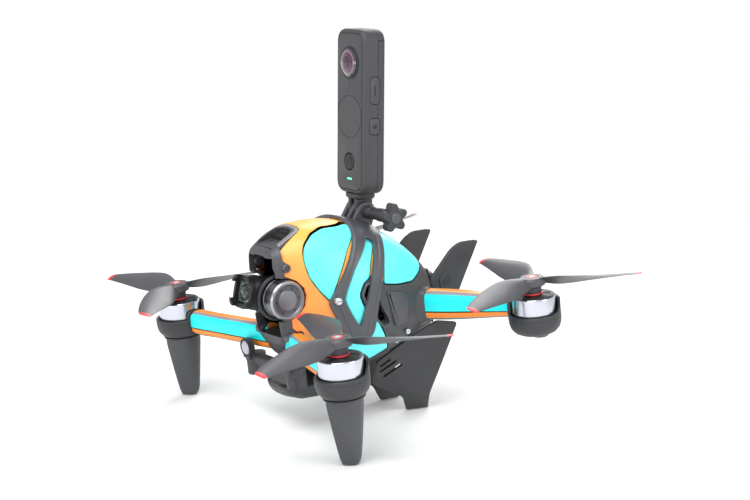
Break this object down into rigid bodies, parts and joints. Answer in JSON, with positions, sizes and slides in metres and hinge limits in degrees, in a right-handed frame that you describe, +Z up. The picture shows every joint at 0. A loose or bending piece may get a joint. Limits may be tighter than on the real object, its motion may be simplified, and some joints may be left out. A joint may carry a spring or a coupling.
{
  "type": "fpv racing drone",
  "caption": "Small first-person-view racing drone with arms, tri-blade rotors, tilting nose camera, fins, landing legs and an action camera on a folding fork mount.",
  "frame": {"origin": "middle of the whole object's footprint, on the ground", "axes": "+Z up from the ground, -Y the way the nose points, +X the drone's left; the longest extent is along X"},
  "size_m": [0.3116, 0.2712, 0.2472],
  "materials": {
    "orange_paint": "satin orange paint fading to yellow on top",
    "cyan_panel": "smooth satin cyan clip-on panel",
    "arm_finish": "cyan arm with orange and grey bands",
    "grey_plastic": "fine-grained moulded dark grey plastic",
    "dark_plastic": "fine-grained moulded charcoal plastic",
    "black_plastic": "black moulded plastic",
    "camera_case": "soft-touch dark grey case",
    "silver_metal": "turned silver motor bell and cap",
    "steel_screw": "bright screw head",
    "copper_winding": "copper windings",
    "circuit_board": "green circuit boards",
    "lens_glass": "coated dark lens glass",
    "lamp_glass": "pale lamp lens"
  },
  "bodies": {
    "airframe": {"body_frame": "grey_plastic", "upper_shell": "orange_paint", "nose_frame": "grey_plastic", "intake_grille": "dark_plastic", "gimbal_motor": "silver_metal", "gimbal_bearing": "grey_plastic", "circuit_stack": "circuit_board", "belly_tray": "dark_plastic", "lamp_beam": "dark_plastic", "lamp_lens_left": "lamp_glass", "lamp_lens_right": "lamp_glass", "saddle_bracket": "grey_plastic", "saddle_screw_left": "steel_screw", "saddle_screw_right": "steel_screw", "teardrop_panel_left": "cyan_panel", "teardrop_panel_right": "cyan_panel", "middle_panel_left": "cyan_panel", "middle_panel_right": "cyan_panel", "rear_panel_left": "cyan_panel", "rear_panel_right": "cyan_panel", "lower_panel_left": "cyan_panel", "lower_panel_right": "cyan_panel", "arm_front_right": "arm_finish", "motor_pod_front_right": "dark_plastic", "motor_stator_front_right": "copper_winding", "arm_front_left": "arm_finish", "motor_pod_front_left": "dark_plastic", "motor_stator_front_left": "copper_winding", "arm_rear_left": "arm_finish", "motor_pod_rear_left": "dark_plastic", "motor_stator_rear_left": "copper_winding", "arm_rear_right": "arm_finish", "motor_pod_rear_right": "dark_plastic", "motor_stator_rear_right": "copper_winding", "landing_leg_front_left": "grey_plastic", "landing_leg_front_right": "grey_plastic", "upper_fin_left": "dark_plastic", "upper_fin_right": "dark_plastic", "lower_fin_left": "dark_plastic", "lower_fin_right": "dark_plastic"},
    "rotor_front_right": {"motor_bell_front_right": "silver_metal", "propeller_front_right": "dark_plastic"},
    "rotor_front_left": {"motor_bell_front_left": "silver_metal", "propeller_front_left": "dark_plastic"},
    "rotor_rear_left": {"motor_bell_rear_left": "silver_metal", "propeller_rear_left": "dark_plastic"},
    "rotor_rear_right": {"motor_bell_rear_right": "silver_metal", "propeller_rear_right": "dark_plastic"},
    "nose_camera": {"camera_head": "black_plastic", "camera_window": "lens_glass"},
    "battery_pack": {"battery": "dark_plastic"},
    "thumb_screw_body": {"thumb_screw": "grey_plastic"},
    "action_camera": {"camera_adapter": "dark_plastic", "action_camera_body": "camera_case", "action_camera_face": "camera_case", "front_lens": "lens_glass", "rear_lens": "lens_glass"},
    "shutter": {"shutter_button": "black_plastic"},
    "power_key": {"power_button": "camera_case"},
    "quick_key": {"quick_button": "camera_case"}
  },
  "joints": [
    {"name": "rotor_spin_front_right", "type": "hinge", "parent": "airframe", "child": "rotor_front_right", "pos_m": [-0.0903, -0.06992, 0.06416], "axis": [0, -0.1323, 0.9912], "continuous": true},
    {"name": "rotor_spin_front_left", "type": "hinge", "parent": "airframe", "child": "rotor_front_left", "pos_m": [0.1077, -0.06992, 0.06416], "axis": [0, -0.1323, 0.9912], "continuous": true},
    {"name": "rotor_spin_rear_left", "type": "hinge", "parent": "airframe", "child": "rotor_rear_left", "pos_m": [0.1077, 0.07251, 0.08549], "axis": [0, -0.1323, 0.9912], "continuous": true},
    {"name": "rotor_spin_rear_right", "type": "hinge", "parent": "airframe", "child": "rotor_rear_right", "pos_m": [-0.0903, 0.07251, 0.08549], "axis": [0, -0.1323, 0.9912], "continuous": true},
    {"name": "nose_camera_tilt", "type": "hinge", "parent": "airframe", "child": "nose_camera", "pos_m": [0.0087, -0.05946, 0.08412], "axis": [1, 0, 0], "range_deg": [-52, 83]},
    {"name": "battery_slide", "type": "slide", "parent": "airframe", "child": "battery_pack", "axis": [0, 0.9912, 0.1323], "range_m": [0, 0.09]},
    {"name": "thumb_screw_turn", "type": "hinge", "parent": "airframe", "child": "thumb_screw_body", "pos_m": [0.0287, 0.00934, 0.13174], "axis": [1, 0, 0], "continuous": true},
    {"name": "camera_mount_tilt", "type": "hinge", "parent": "airframe", "child": "action_camera", "pos_m": [0.0087, 0.00934, 0.13174], "axis": [1, 0, 0], "range_deg": [-90, 50]},
    {"name": "shutter_press", "type": "slide", "parent": "action_camera", "child": "shutter", "axis": [0, 1, 0], "range_m": [0, 0.0006]},
    {"name": "power_press", "type": "slide", "parent": "action_camera", "child": "power_key", "axis": [-1, 0, 0], "range_m": [0, 0.0005]},
    {"name": "quick_press", "type": "slide", "parent": "action_camera", "child": "quick_key", "axis": [-1, 0, 0], "range_m": [0, 0.0005]}
  ]
}
